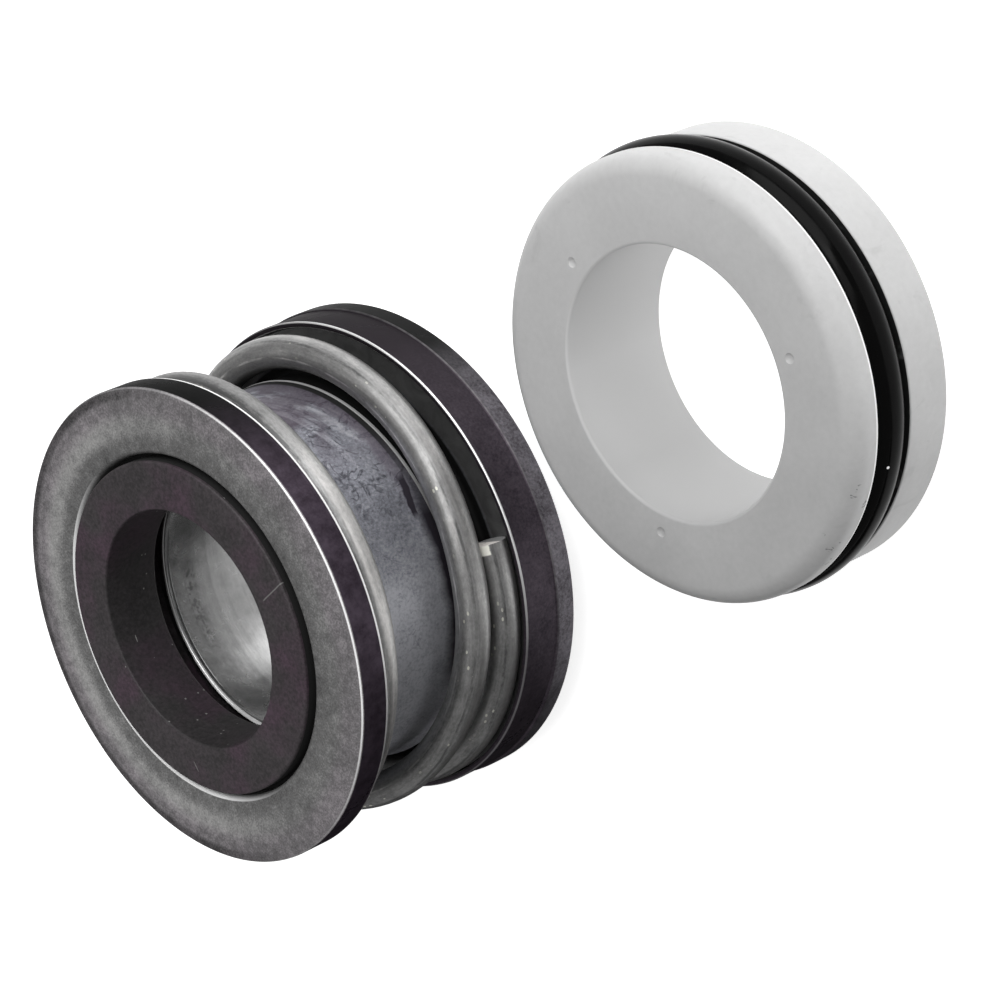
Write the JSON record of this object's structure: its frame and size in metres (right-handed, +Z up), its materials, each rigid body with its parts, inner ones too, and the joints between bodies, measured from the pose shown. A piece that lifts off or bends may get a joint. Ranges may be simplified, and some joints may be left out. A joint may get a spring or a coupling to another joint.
{
  "type": "component mechanical seal",
  "caption": "Pump shaft seal in two halves: a spring-loaded rubber bellows head with a carbon ring, and a ceramic seat with an O-ring.",
  "frame": {"origin": "on the head's axis, in the plane of the carbon's sealing face, which is also the surface that both halves rest on", "axes": "+Z up along the head's axis, from the carbon to the rubber tail; +X from the head's axis to the seat's axis"},
  "size_m": [0.0651, 0.0316, 0.0204],
  "materials": {
    "stamped_steel": "matt tumbled face, dark burnished wall",
    "drawn_steel": "dark burnished",
    "drum_steel": "dull, scuffed, with bloom",
    "bright_steel": "satin",
    "spring_wire": "drawn wire, bright cut ends",
    "rubber": "matt moulded",
    "carbon": "matt, lapped on its face",
    "ceramic": "fine ground white",
    "oring_rubber": "glossy, greased"
  },
  "bodies": {
    "seat": {"seat_ring": "ceramic", "seat_oring": "oring_rubber"},
    "nose": {"retainer_cup": "drawn_steel", "carbon_ring": "carbon", "drive_band": "drum_steel", "inner_sleeve": "bright_steel", "bellows": "rubber", "spring": "spring_wire"},
    "tail": {"spring_holder": "stamped_steel"}
  },
  "joints": [
    {"name": "head_spin", "type": "hinge", "parent": "seat", "child": "nose", "pos_m": [0, 0, 0], "axis": [0, 0, 1], "continuous": true},
    {"name": "tail_press", "type": "slide", "parent": "nose", "child": "tail", "axis": [0, 0, -1], "range_m": [0, 0.003], "stiffness_N_per_m": 7000, "deforming": ["spring", "bellows"]}
  ]
}
